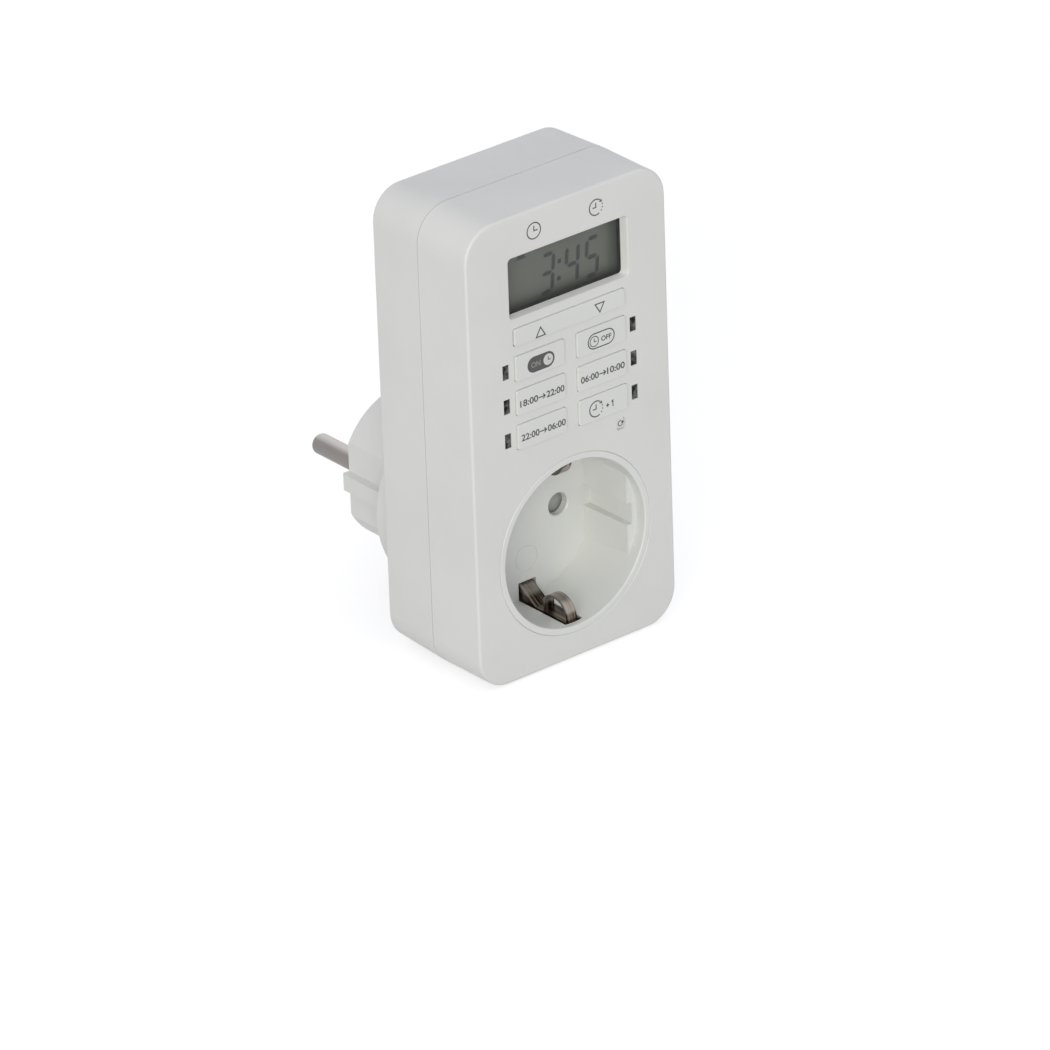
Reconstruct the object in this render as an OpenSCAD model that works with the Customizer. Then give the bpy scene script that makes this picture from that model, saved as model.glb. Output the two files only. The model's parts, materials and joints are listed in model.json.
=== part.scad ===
// Plug-in timer switch: a two-part housing with an earthed plug behind, a shuttered
// earthed socket in front, a display window, six keys, an up/down rocker and a reset key.
//
// Every module builds its piece in the face frame: x to the right, y up the face and z from
// the plug's end face towards the user. upright() turns that frame to the part's own, where
// Z is up, the face looks along -Y and the plug pins point along +Y.

/* [Housing] */
// Width of the housing at its parting line
body_w = 55.8; // [55.2:0.1:60]
// Height of the housing at its parting line
body_h = 110.1; // [109:0.1:120]
// Height of the socket's axis above the housing's foot
axis_h = 27.35; // [27:0.05:30]
// Depth of the front shell, face to parting line
front_depth = 15.8; // [15.4:0.1:18]
// Depth of the rear shell, parting line to rear face
rear_depth = 16.3; // [16:0.1:20]
// Corner radius of the housing at its parting line
corner_r = 8.1; // [7.6:0.1:8.6]
// Thickness of the side and rear walls
wall = 2.2; // [2:0.1:2.4]
// Thickness of the front wall
face_wall = 2.5; // [2.3:0.1:2.8]
// Draft of the front shell's sides, in degrees
front_draft = 0.6; // [0:0.1:1.2]
// Draft of the rear shell's sides, in degrees
rear_draft = 2.2; // [0.5:0.1:2.4]
// Radius of the front edge
front_edge_r = 0.6; // [0.3:0.1:1]
// Radius of the rear edges
rear_edge_r = 0.8; // [0.4:0.1:1.2]
// Distance of the housing screws from the sides
screw_inset = 5.7; // [5.6:0.1:5.9]

/* [Plug] */
// Diameter of the plug body
plug_d = 36.5; // [36.3:0.1:36.9]
// Length of the plug body, its end face to the base
plug_len = 18.8; // [18.4:0.1:19.4]
// Distance across the plug's side flats
plug_flats = 31.8; // [31.6:0.1:32.2]
// Width of the guide ribs on the side flats
rib_w = 3.9; // [3.4:0.1:4.4]
// Height of the guide ribs
rib_h = 2.1; // [1.6:0.1:2.2]
// Diameter of the round base behind the plug body
base_d = 47.6; // [47:0.1:49]
// Length of the round base
base_len = 7.9; // [7.6:0.1:9]
// Diameter of the pins
pin_d = 4.8; // [4.7:0.05:4.9]
// Length of the pins beyond the plug body
pin_len = 19; // [18.5:0.1:19.2]
// Distance between the pins, and between the socket's holes
pin_pitch = 19; // [18.8:0.1:19.2]

/* [Socket] */
// Diameter of the socket recess
socket_d = 39.3; // [39:0.1:39.6]
// Depth of the socket recess
socket_depth = 17.4; // [17.2:0.1:17.8]
// Wall of the socket pot
pot_wall = 1.55; // [1.4:0.05:1.7]
// Floor thickness of the socket pot
pot_floor = 2; // [1.8:0.1:2.2]
// Distance across the recess's side flats
socket_flats = 33.2; // [32.8:0.1:33.6]
// Width of the guide notches in the side flats
notch_w = 5.2; // [4.8:0.1:5.6]
// Distance across the bottoms of the two guide notches
notch_span = 37; // [36.6:0.1:37.4]
// Diameter of the pin holes
hole_d = 5.3; // [5.2:0.05:5.5]

/* [Display] */
// Width of the display window
window_w = 33; // [31:0.5:33.5]
// Distance of the window's upper edge from the housing's top
window_drop = 9.9; // [9.7:0.05:12]
// Depth of the dark frame between lens and glass
bezel_depth = 1; // [0.8:0.1:1.2]

/* [Keys] */
// Width of a key
key_w = 13.6; // [12:0.1:13.7]
// Gap between the key columns
column_gap = 3.5; // [3.4:0.1:4]
// Gap between the key rows
row_gap = 2.22; // [2.1:0.01:2.6]
// How far the keys stand proud of the face
key_proud = 0.5; // [0.45:0.05:0.6]
// Gap around each key
key_gap = 0.08; // [0.06:0.01:0.15]
// Travel of a key
key_travel = 0.4; // [0.25:0.05:0.4]
// Height of the up/down rocker
rocker_h = 4.1; // [3.6:0.1:4.2]
// Depth of the reset key below the face
reset_sink = 0.5; // [0.3:0.1:1]

/* [Hidden] */
$fn = 64;

// Planes of the face frame, from the plug's end face forwards
rear_z = plug_len + base_len;
part_z = rear_z + rear_depth;
face_z = part_z + front_depth;
inner_z = face_z - face_wall;
floor_z = face_z - socket_depth;
under_z = floor_z - pot_floor;
body_y = body_h / 2 - axis_h;
body_top = body_h - axis_h;

// Housing
base_draft = 0.5;
groove_h = 0.2;
groove_t = 0.45;
lip_t = 1;
lip_h = 1.4;
lip_gap = 0.1;
end_wall = 3;
cell_wall = 2.2;
screw_x = body_w / 2 - screw_inset;
screw_ys = [screw_inset - axis_h, body_top - screw_inset];
front_boss_r = 3;
rear_boss_r = 4;
head_r = 2.8;
head_t = 2.2;
head_z = part_z - 5;
head_gap = 0.3;
shank_r = 1.45;
shank_gap = 0.05;
screw_hole_r = 1.7;
screw_end = 9;

// Plug
plug_r = plug_d / 2;
plug_cell_r = plug_r - 1.85;
plug_cell_y = 13.8;
pin_r = pin_d / 2;
pin_x = pin_pitch / 2;
pin_tip = 1.1;
pin_neck_r = pin_r - 0.3;
pin_hole_r = pin_r + 0.05;
collar_r = 3.6;
collar_t = 1.8;
rivet_r = 1.6;
rivet_head_r = 2.6;
rivet_head_t = 1;
plate_t = 1.8;
rib_chamfer = 0.5;
channel_w = 6.6;

// Socket
socket_r = socket_d / 2;
pot_r = socket_r + pot_wall;
pot_gap = 0.05;
pot_edge = 0.15;
rim_r = 0.4;
pot_flange_r = pot_r + 1.5;
pot_flange_t = 1.5;
flats_sink = 3.2;
flats_slope = 0.55;
witness_r = 3.1;
witness_y = -9.9;
hole_r = hole_d / 2;
hole_chamfer = 0.3;
strip_slot_w = 5;

// Shutter and its carrier
shutter_angle = 40;
shutter_t = 1.7;
shutter_drop = 0.7;
shutter_gap = 0.2;
shutter_r = pin_x + hole_r + 1.25;
shutter_z = under_z - shutter_drop - shutter_t;
axle_r = 2;
axle_gap = 0.05;
carrier_cell_r = shutter_r + 0.9;
carrier_h = 6.1;
carrier_top = shutter_z - shutter_gap;
carrier_z = carrier_top - carrier_h;
pocket_gap = 0.3;
spring_wire = 0.45;
spring_r = 3.2;
spring_turns = 3;
spring_pitch = 0.6;
spring_sink = 2.5;
spring_z = carrier_top - spring_sink;
spring_leg_r = 7;
spring_rest = 112;
spring_well_r = 4;
peg_r = 0.5;
peg_x = 6.4;
peg_rest = spring_rest + 8;
peg_room = 5.2;

// Earth contact
strip_t = 0.8;
strip_w = 4;
pad_t = 1;
pad_w = 5;
bow_w = 2.6;
bow_t = 0.55;
bow_r = 4.6;
bow_bend = 0.9;
wall_strip_y = socket_r + 0.55;
bow_y = wall_strip_y - strip_t;
bow_z = face_z - 6.7;
bow_back = 3.7;
strip_front = face_z - 1.8;
tongue_z = floor_z - 1.7;
tongue_reach = 4.6;
tongue_y = wall_strip_y - tongue_reach;
tongue_t = 0.7;
tongue_web = 0.4;
strip_slot_y = tongue_y - 0.3;
carrier_space = 0.8;
carrier_r = bow_y - carrier_space;
pad_y = 15.2;
bridge_z = carrier_z - 0.4 - strip_t;

// Live and neutral contacts
sleeve_r = 3;
sleeve_bore = pin_r + 0.1;
sleeve_top = carrier_top - 0.5;
sleeve_z = floor_z - pin_len - 2.2;
bar_z = carrier_z - 0.5 - strip_t;
bar_w = 3;
bar_y = 25.5;
tail_x = pin_x + 3.4;
foot_z = end_wall + collar_t + plate_t;

// Boards
board_t = 1.6;
board_z = inner_z - 6.3;
board_space = 2.2;
board_top_space = 7.2;
board_w = body_w - 2 * wall - 2 * board_space;
board_top = body_top - board_top_space;
board_foot = 18.5;
post_inset = 2.3;
post_x = board_w / 2 - post_inset;
post_r = 2;
power_z = bar_z + 2.1;
power_top = power_z + board_t;
power_inset = 1;
power_post_r = 2.5;
power_top_space = 10.75;
power_w = board_w - 2 * power_inset;
power_y0 = 23.6;
power_y1 = body_top - power_top_space;
power_post_x = power_w / 2 - power_post_r - 0.2;
power_post_ys = [power_y0 + 5.6, power_y1 - 3.5];
board_screw_r = 1;
board_head_r = 2;
board_head_t = 1.2;

// Layout of the panel: reset key, three key rows, rocker and window share the height between
// the socket's flange and the window's upper edge
window_rows = 1.75;
row_foot = 3.93;
rocker_flange = 0.5;
rocker_step = (rocker_h + row_gap) / 2 + 0.19;
frame_foot = rocker_h / 2 + rocker_flange + 0.45;
frame_edge = 1.3;
window_top = body_top - window_drop;
row_pitch = (window_top - pot_flange_r - row_foot - rocker_step - frame_foot - frame_edge)
    / (3 + window_rows);
key_h = row_pitch - row_gap;
key_x = (key_w + column_gap) / 2;
row_y = pot_flange_r + row_foot + row_pitch / 2;
rocker_y = row_y + 2.5 * row_pitch + rocker_step;
window_h = window_rows * row_pitch;
window_y = window_top - window_h / 2;
post_ys = [pot_flange_r + 2.1, rocker_y - 1];

// Components on the boards
header_w = 12.7;
header_t = 2.5;
header_y = 29;
chip_w = 9;
chip_t = 1.4;
chip_x = -13.5;
chip_y = 31.8;
crystal_r = 1.5;
crystal_len = 8;
crystal_x = 5;
crystal_y = 37;
case_r = 0.6;
relay_w = 12.7;
relay_t = 12.4;
relay_x = -8.2;
relay_foot = 40.7;
relay_space = 2.2;
relay_end = power_y1 - relay_space;
dropper_w = 8;
dropper_t = 12;
dropper_x = 6;
dropper_foot = 42;
dropper_space = 11.5;
dropper_end = power_y1 - dropper_space;
can_r = 4;
can_len = 11.5;
can_x = 16.6;
can_y = 47.5;
varistor_r = 5;
varistor_t = 4;
varistor_lead = 2.2;
varistor_x = 16.2;
varistor_y = 58;
lead_r = 0.4;
bridge_w = 6;
bridge_t = 4;
bridge_h = 7;
bridge_x = -2;
bridge_y = 35;
fuse_r = 1.8;
fuse_len = 9;
fuse_x = -15;
fuse_y = 34;
cell_r = 6;
cell_t = 4;
cell_x = 13.2;
cell_y = 36.5;

// Display
window_x = 0.45;
window_r = 1;
window_chamfer = 0.2;
lens_t = 1;
view_x = window_x + 0.2;
view_y = window_y - 0.1;
view_w = window_w + 1;
view_h = window_h + 0.6;
glass_w = view_w + 0.6;
glass_h = view_h + 0.4;
glass_t = 2.2;
glass_front = inner_z - lens_t - bezel_depth;
bezel_wall = 0.6;
bezel_gap = 0.1;
zebra_w = 1.2;

// Keys, switches and light guides
key_r = 0.6;
key_edge_r = 0.15;
key_flange = 0.75;
flange_t = 1;
flange_gap = 0.15;
stem_r = 1.8;
switch_w = 5;
switch_h = 3.5;
plunger_r = 1.7;
plunger_top = board_z + 4.3;
plunger_z = board_z + 0.4 + key_travel + 0.2;
rocker_x = key_x + 0.35;
rocker_w = 2 * key_x + key_w;
rocker_swing = 0.1;
rocker_flange_gap = 0.7;
fulcrum_r = 0.6;
fulcrum_z = board_z + 2.8;
fulcrum_len = 3;
reset_x = 13.7;
reset_y = pot_flange_r + 1.65;
reset_w = 2.3;
reset_h = 2.6;
guide_x = key_x + key_w / 2 + 2.4;
slot_w = 1.75;
slot_h = 3.45;
guide_gap = 0.06;
guide_sink = 0.15;
guide_flange = 0.5;
led_t = 0.9;

// Keys by name: column, row, and whether the key is the reset key
KEYS = [
    ["on_key", -key_x, row_y + 2 * row_pitch],
    ["off_key", key_x, row_y + 2 * row_pitch],
    ["preset_key_1", -key_x, row_y + row_pitch],
    ["preset_key_2", key_x, row_y + row_pitch],
    ["preset_key_3", -key_x, row_y],
    ["hour_key", key_x, row_y]
];
GUIDES = [for (side = [-1, 1], row = [2, 1, 0]) [side * guide_x, row_y + row * row_pitch]];
SWITCHES = concat(
    [for (k = KEYS) [k[1], k[2]]],
    [[reset_x, reset_y], [-rocker_x, rocker_y], [rocker_x, rocker_y]]
);

// Finishes
SHELL = [0.82, 0.82, 0.80];
KEY = [0.84, 0.84, 0.82];
METAL = [0.62, 0.58, 0.55];
BRASS = [0.80, 0.68, 0.40];
DARK = [0.12, 0.12, 0.12];
BOARD = [0.10, 0.38, 0.22];

// ---- helpers ----

module upright() {
    rotate([90, 0, 0]) children();
}

// Sweeps an edge profile round a rounded rectangle: quarter turns at the corners, straight
// runs between them and a core. The profile's x is the distance out from a corner's centre.
module rounded_run(w, h, r, z0, z1) {
    cx = w / 2 - r;
    cy = h / 2 - r;
    for (q = [[1, 1, 0], [-1, 1, 90], [-1, -1, 180], [1, -1, 270]])
        translate([q[0] * cx, q[1] * cy, 0])
            rotate(q[2])
                rotate_extrude(angle = 90) children();
    for (m = [0, 1]) {
        mirror([m, 0, 0])
            translate([cx, cy, 0])
                rotate([90, 0, 0]) linear_extrude(2 * cy) children();
        mirror([0, m, 0])
            translate([-cx, cy, 0])
                rotate([90, 0, 90]) linear_extrude(2 * cx) children();
    }
    translate([-cx, -cy, z0]) cube([2 * cx, 2 * cy, z1 - z0]);
}

module rounded_plate(w, h, r, z0, z1) {
    rounded_run(w, h, r, z0, z1)
        translate([0, z0]) square([r, z1 - z0]);
}

// Edge profile of a drafted wall from the plane z_wide to the narrower, filleted end z_end
module drafted_profile(r_wide, z_wide, z_end, draft, edge_r) {
    s = z_end > z_wide ? 1 : -1;
    r_end = r_wide - (abs(z_end - z_wide) - edge_r) * tan(draft);
    difference() {
        polygon([
            [0, z_wide], [r_wide, z_wide], [r_end, z_end - s * edge_r], [r_end, z_end], [0, z_end]
        ]);
        translate([r_end - edge_r, z_end - s * edge_r])
            difference() {
                translate([0, s > 0 ? 0 : -edge_r - 1]) square(edge_r + 1);
                circle(r = edge_r);
            }
    }
}

// A box given by its x, y and z spans
module span_box(xs, ys, zs) {
    translate([xs[0], ys[0], zs[0]])
        cube([xs[1] - xs[0], ys[1] - ys[0], zs[1] - zs[0]]);
}

module rod(x, y, r, z0, z1) {
    translate([x, y, z0]) cylinder(r = r, h = z1 - z0);
}

// Extrudes an outline drawn in (y, z) over a width centred on x
module side_cut(w) {
    rotate([90, 0, 90]) translate([0, 0, -w / 2]) linear_extrude(w) children();
}

module both_sides() {
    for (m = [0, 1]) mirror([m, 0, 0]) children();
}

module top_and_bottom() {
    for (m = [0, 1]) mirror([0, m, 0]) children();
}

module housing_bosses(r, z0, z1) {
    both_sides() for (y = screw_ys) rod(screw_x, y, r, z0, z1);
}

// ---- housing ----

module body_cavity(z0, z1) {
    translate([0, body_y, 0])
        rounded_plate(body_w - 2 * wall, body_h - 2 * wall, corner_r - wall, z0, z1);
}

// Ring in the wall's thickness, from its inner face outwards
module lip_ring(inner, outer, z0, z1) {
    translate([0, body_y, 0])
        difference() {
            rounded_plate(body_w - 2 * wall + 2 * outer, body_h - 2 * wall + 2 * outer,
                          corner_r - wall + outer, z0, z1);
            rounded_plate(body_w - 2 * wall + 2 * inner, body_h - 2 * wall + 2 * inner,
                          corner_r - wall + inner, z0 - 1, z1 + 1);
        }
}

module window_cut() {
    translate([window_x, window_y, 0])
        rounded_run(window_w, window_h, window_r, inner_z - 1, face_z + 1)
            polygon([
                [0, inner_z - 1], [window_r, inner_z - 1],
                [window_r, face_z - window_chamfer], [window_r + window_chamfer, face_z],
                [window_r + window_chamfer, face_z + 1], [0, face_z + 1]
            ]);
}

module key_opening(x, y, w, h, gap) {
    translate([x, y, 0])
        rounded_plate(w + 2 * gap, h + 2 * gap, key_r, inner_z - 1, face_z + 1);
}

module front_openings() {
    rod(0, 0, pot_r + pot_gap, inner_z - 1, face_z + 1);
    translate([0, 0, face_z - pot_edge])
        cylinder(r1 = pot_r + pot_gap, r2 = pot_r + pot_gap + pot_edge, h = pot_edge);
    window_cut();
    for (k = KEYS) key_opening(k[1], k[2], key_w, key_h, key_gap);
    key_opening(0, rocker_y, rocker_w + 2 * rocker_swing, rocker_h, key_gap);
    key_opening(reset_x, reset_y, reset_w, reset_h, key_gap);
    for (g = GUIDES)
        span_box([g[0] - slot_w / 2, g[0] + slot_w / 2], [g[1] - slot_h / 2, g[1] + slot_h / 2],
                 [inner_z - 1, face_z + 1]);
}

module front_housing() color(SHELL) upright() {
    difference() {
        union() {
            difference() {
                translate([0, body_y, 0])
                    rounded_run(body_w, body_h, corner_r, part_z, face_z)
                        drafted_profile(corner_r, part_z, face_z, front_draft, front_edge_r);
                body_cavity(part_z - 1, inner_z);
            }
            lip_ring(0, lip_t, part_z - lip_h, part_z);
            housing_bosses(front_boss_r, part_z, inner_z);
            both_sides() for (y = post_ys) rod(post_x, y, post_r, board_z, inner_z);
        }
        front_openings();
        housing_bosses(shank_r + shank_gap, part_z - 1, part_z + screw_end + 0.5);
        both_sides()
            for (y = post_ys)
                rod(post_x, y, board_screw_r + shank_gap, board_z - 1, board_z + 4.5);
    }
}

module plug_body() {
    intersection() {
        rotate_extrude()
            drafted_profile(plug_r, plug_len, 0, 0, 0.5);
        span_box([-plug_flats / 2, plug_flats / 2], [-plug_r, plug_r], [-1, plug_len]);
    }
    both_sides()
        rotate([90, 0, 0])
            translate([0, 0, -rib_w / 2])
                linear_extrude(rib_w)
                    polygon([
                        [plug_flats / 2, 0], [plug_flats / 2 + rib_h - rib_chamfer, 0],
                        [plug_flats / 2 + rib_h, rib_chamfer], [plug_flats / 2 + rib_h, plug_len],
                        [plug_flats / 2, plug_len]
                    ]);
}

module plug_cell(z1) {
    intersection() {
        rod(0, 0, plug_cell_r, end_wall, z1);
        span_box([-plug_flats / 2 + cell_wall, plug_flats / 2 - cell_wall],
                 [-plug_cell_y, plug_cell_y], [0, z1]);
    }
}

// Ring that carries the contact carrier, notched where the straps and bars pass
module carrier_collar() {
    difference() {
        rod(0, 0, plug_cell_r + 1.6, plug_len + wall, carrier_z);
        rod(0, 0, plug_cell_r, plug_len, carrier_z + 1);
        span_box([-channel_w / 2, channel_w / 2], [-plug_r - 1, plug_r + 1],
                 [plug_len + wall, carrier_z + 1]);
        for (x = [-pin_x, pin_x])
            span_box([x - bar_w / 2 - 0.5, x + bar_w / 2 + 0.5], [5, plug_r],
                     [bar_z - 0.3, carrier_z + 1]);
        span_box([-plug_r, -pin_x - 3.1], [-2.6, plug_r], [bar_z - 0.3, carrier_z + 1]);
    }
}

module rear_housing() color(SHELL) upright() {
    difference() {
        union() {
            difference() {
                union() {
                    translate([0, body_y, 0])
                        rounded_run(body_w, body_h, corner_r, rear_z, part_z)
                            drafted_profile(corner_r, part_z, rear_z, rear_draft, rear_edge_r);
                    rotate_extrude()
                        drafted_profile(base_d / 2, rear_z, plug_len, base_draft, rear_edge_r);
                    plug_body();
                }
                body_cavity(rear_z + wall, part_z + 1);
                rod(0, 0, base_d / 2 - wall, plug_len + wall, rear_z + wall + 1);
                plug_cell(plug_len + wall + 1);
            }
            housing_bosses(rear_boss_r, rear_z + wall, part_z);
            both_sides()
                for (y = power_post_ys) rod(power_post_x, y, power_post_r, rear_z + wall, power_z);
            carrier_collar();
        }
        lip_ring(-lip_gap, lip_t + lip_gap, part_z - lip_h - lip_gap, part_z + 1);
        lip_ring(wall - groove_t, wall + 1, part_z - groove_h, part_z + 1);
        housing_bosses(head_r + head_gap, rear_z - 1, head_z);
        housing_bosses(screw_hole_r, rear_z, part_z + 1);
        both_sides()
            for (y = power_post_ys)
                rod(power_post_x, y, board_screw_r + shank_gap, rear_z + wall + 0.4, power_z + 1);
        both_sides() rod(pin_x, 0, pin_hole_r, -1, end_wall + 1);
        top_and_bottom() {
            span_box([-channel_w / 2, channel_w / 2], [pad_y, plug_r + 1], [-1, plug_len]);
            span_box([-pad_w / 2 - 0.1, pad_w / 2 + 0.1], [pad_y, pad_y + pad_t + 0.15],
                     [plug_len - 1, plug_len + wall + 1]);
        }
    }
}

// Four screws that enter from the rear, with a cross recess
module housing_screws() color(METAL) upright() {
    both_sides()
        for (y = screw_ys)
            translate([screw_x, y, head_z])
                difference() {
                    union() {
                        translate([0, 0, -head_t]) cylinder(r = head_r, h = head_t);
                        cylinder(r = shank_r, h = part_z + screw_end - head_z);
                    }
                    for (a = [0, 90])
                        rotate(a) span_box([-1.5, 1.5], [-0.35, 0.35], [-head_t - 1, -head_t + 1.2]);
                }
}

// ---- socket ----

module recess_cut() {
    difference() {
        rotate_extrude() {
            translate([0, floor_z]) square([socket_r, face_z + 1 - floor_z]);
            difference() {
                translate([socket_r, face_z - rim_r]) square([rim_r, rim_r + 1]);
                translate([socket_r + rim_r, face_z - rim_r]) circle(r = rim_r);
            }
        }
        both_sides()
            rotate([90, 0, 0])
                translate([0, 0, -pot_r])
                    linear_extrude(2 * pot_r)
                        polygon([
                            [socket_flats / 2, floor_z - 1], [pot_r + 1, floor_z - 1],
                            [pot_r + 1, face_z - flats_sink],
                            [socket_flats / 2 + flats_slope, face_z - flats_sink],
                            [socket_flats / 2, floor_z]
                        ]);
    }
    span_box([-notch_span / 2, notch_span / 2], [-notch_w / 2, notch_w / 2],
             [floor_z, face_z - flats_sink + 1]);
    translate([0, witness_y, floor_z - 0.12])
        difference() {
            cylinder(r = witness_r, h = 1);
            translate([0, 0, -1]) cylinder(r = witness_r - 0.2, h = 3);
        }
}

module socket_pot() color(SHELL) upright() {
    difference() {
        union() {
            rod(0, 0, pot_r, under_z, face_z - pot_edge);
            translate([0, 0, face_z - pot_edge])
                cylinder(r1 = pot_r, r2 = pot_r - pot_edge, h = pot_edge);
            rod(0, 0, pot_flange_r, inner_z - pot_flange_t, inner_z);
        }
        recess_cut();
        both_sides() {
            rod(pin_x, 0, hole_r, under_z - 1, floor_z + 1);
            translate([pin_x, 0, floor_z - hole_chamfer])
                cylinder(r1 = hole_r, r2 = hole_r + hole_chamfer, h = hole_chamfer);
        }
        top_and_bottom()
            span_box([-strip_slot_w / 2, strip_slot_w / 2],
                     [strip_slot_y, wall_strip_y + 0.1], [under_z - 1, strip_front + 0.2]);
    }
}

// Turning disc that closes both pin holes until two pins push on its ramps together
module shutter() color(KEY) upright() {
    difference() {
        union() {
            rod(0, 0, shutter_r, shutter_z, shutter_z + shutter_t);
            rotate(peg_rest) rod(peg_x, 0, peg_r, carrier_top - 0.7, shutter_z + shutter_t / 2);
        }
        rod(0, 0, axle_r + axle_gap, shutter_z - 2, shutter_z + shutter_t + 1);
        for (a = [0, 180])
            rotate(a) {
                rotate(shutter_angle) rod(pin_x, 0, hole_r + 0.35, shutter_z - 1, under_z + 1);
                translate([pin_x, -0.5, shutter_z + shutter_t])
                    rotate([-14, 0, 0]) translate([-3, 0, 0]) cube([6, 6, 3]);
            }
        for (a = [90, 270])
            rotate(a) rod(shutter_r + 1.5, 0, 4.5, shutter_z - 1, under_z + 1);
    }
}

// Points of the torsion spring's wire: fixed leg, coil, moving leg
function spring_point(a, r, z) = [r * cos(a), r * sin(a), z];
spring_turn = 360 * spring_turns + spring_rest + 90;
spring_steps = 72;
spring_top = spring_z + spring_pitch * spring_turn / 360;
spring_path = concat(
    [spring_point(-90, spring_leg_r - 1, spring_z)],
    [for (i = [0:spring_steps])
        spring_point(-90 + spring_turn * i / spring_steps, spring_r,
                     spring_z + spring_pitch * spring_turn / 360 * i / spring_steps)],
    [spring_point(spring_rest, spring_leg_r, spring_top)]
);

function unit(v) = v / norm(v);
function heading(path, i) =
    unit(path[min(i + 1, len(path) - 1)] - path[max(i - 1, 0)]);
function tube_ring(p, t, r, sides) =
    let (n = unit(cross(t, [0, 0, 1])), b = cross(n, t))
    [for (k = [0:sides - 1]) p + r * (cos(360 * k / sides) * n + sin(360 * k / sides) * b)];

// Round wire swept along a path that never runs straight up
module wire(path, r, sides) {
    last = (len(path) - 1) * sides;
    polyhedron(
        points = [for (i = [0:len(path) - 1]) each tube_ring(path[i], heading(path, i), r, sides)],
        faces = concat(
            [[for (k = [0:sides - 1]) k]],
            [for (i = [0:len(path) - 2], k = [0:sides - 1])
                [i * sides + k, (i + 1) * sides + k, (i + 1) * sides + (k + 1) % sides,
                 i * sides + (k + 1) % sides]],
            [[for (k = [sides - 1:-1:0]) last + k]]
        )
    );
}

module shutter_spring() color(METAL) upright() {
    wire(spring_path, spring_wire / 2, 8);
}

module contact_carrier() color(DARK) upright() {
    difference() {
        union() {
            difference() {
                rod(0, 0, carrier_r, carrier_z, under_z);
                rod(0, 0, carrier_cell_r, carrier_top, under_z + 1);
            }
            rod(0, 0, axle_r, carrier_z, under_z - 0.1);
        }
        both_sides() {
            rod(pin_x, 0, sleeve_r + pocket_gap, carrier_z - 1, sleeve_top + 0.1);
            rod(pin_x, 0, hole_r + 0.1, carrier_z, under_z);
        }
        difference() {
            rod(0, 0, spring_well_r, spring_z - 0.4, carrier_top + 1);
            rod(0, 0, axle_r, spring_z - 1, carrier_top + 2);
        }
        rotate(peg_rest - shutter_angle - peg_room)
            rotate_extrude(angle = shutter_angle + 2 * peg_room)
                translate([spring_well_r - 0.5, carrier_top - 0.9]) square([4.1, 2]);
        span_box([-0.5, 0.5], [-spring_leg_r, -axle_r - 0.5], [spring_z - 0.4, carrier_top + 1]);
    }
}

// Side view of the clip: an upright leg at the back, bent into an arc that runs to the front
module bow_outline() {
    c = bow_back - bow_bend;
    k = bow_r / (bow_r - bow_bend);
    dy = sqrt(pow(bow_r - bow_bend, 2) - c * c);
    translate([bow_y, bow_z])
        difference() {
            union() {
                difference() {
                    circle(r = bow_r);
                    translate([-bow_r - 1, -bow_r - 1])
                        square([2 * bow_r + 2, bow_r + 1 - bow_back]);
                    polygon([
                        [-dy, -bow_back], [-dy * k, -c * k], [-bow_r - 1, -c * k],
                        [-bow_r - 1, -bow_r - 1], [-dy, -bow_r - 1]
                    ]);
                }
                translate([-dy, -c]) circle(r = bow_bend);
            }
            intersection() {
                circle(r = bow_r - bow_t);
                translate([-bow_r, bow_t - bow_back]) square([2 * bow_r, 2 * bow_r]);
            }
            translate([0.2, -bow_r - 1]) square([bow_r + 1, 2 * bow_r + 2]);
        }
}

// One bent strip on each side and a bridge: clip in the socket, pad on the plug
module earth_contact() color(METAL) upright() {
    top_and_bottom() {
        side_cut(strip_w) {
            translate([bow_y, bridge_z]) square([strip_t, strip_front - bridge_z]);
            polygon([
                [tongue_y, tongue_z], [tongue_y, tongue_z + 0.7], [bow_y + 0.2, floor_z + 5.2],
                [bow_y + 0.2, floor_z + 3.8], [tongue_y + tongue_t, tongue_z + 0.5],
                [tongue_y + tongue_t, tongue_z]
            ]);
        }
        both_sides()
            translate([strip_w / 2 - tongue_web / 2, 0, 0])
                side_cut(tongue_web)
                    polygon([
                        [tongue_y, tongue_z], [tongue_y, tongue_z + 0.7],
                        [bow_y + 0.2, floor_z + 5.2], [bow_y + 0.2, tongue_z]
                    ]);
        side_cut(bow_w) bow_outline();
        side_cut(pad_w)
            translate([pad_y, 1.5]) square([pad_t, bridge_z - 1.5]);
        side_cut(strip_w)
            translate([0, bridge_z]) square([wall_strip_y, strip_t]);
    }
}

// Split tube that grips a plug's pin
module contact_sleeve(x) {
    difference() {
        rod(x, 0, sleeve_r, sleeve_z, sleeve_top);
        rod(x, 0, sleeve_bore, sleeve_z + 1, sleeve_top + 1);
        span_box([x - 0.4, x + 0.4], [-sleeve_r - 1, sleeve_r + 1],
                 [sleeve_z + 4, sleeve_top + 1]);
    }
}

// Flat bar from a sleeve up to the power board, with a tab through the board
module board_bar(x, y0) {
    span_box([x - bar_w / 2, x + bar_w / 2], [y0, bar_y + strip_t], [bar_z, bar_z + strip_t]);
    span_box([x - bar_w / 2, x + bar_w / 2], [bar_y, bar_y + strip_t],
             [bar_z + strip_t, power_top + 0.6]);
}

// Foot that is riveted to a pin, with an upright strip beside the sleeve
module riveted_foot(side, top) {
    difference() {
        span_box([min(side * (pin_x - 3), side * (tail_x + 0.7)),
                  max(side * (pin_x - 3), side * (tail_x + 0.7))], [-2, 2],
                 [foot_z, foot_z + strip_t]);
        rod(side * pin_x, 0, rivet_r + 0.05, foot_z - 1, foot_z + strip_t + 1);
    }
    span_box([min(side * tail_x, side * (tail_x + 0.7)), max(side * tail_x, side * (tail_x + 0.7))],
             [-2, 2], [foot_z + strip_t, top]);
}

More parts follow.
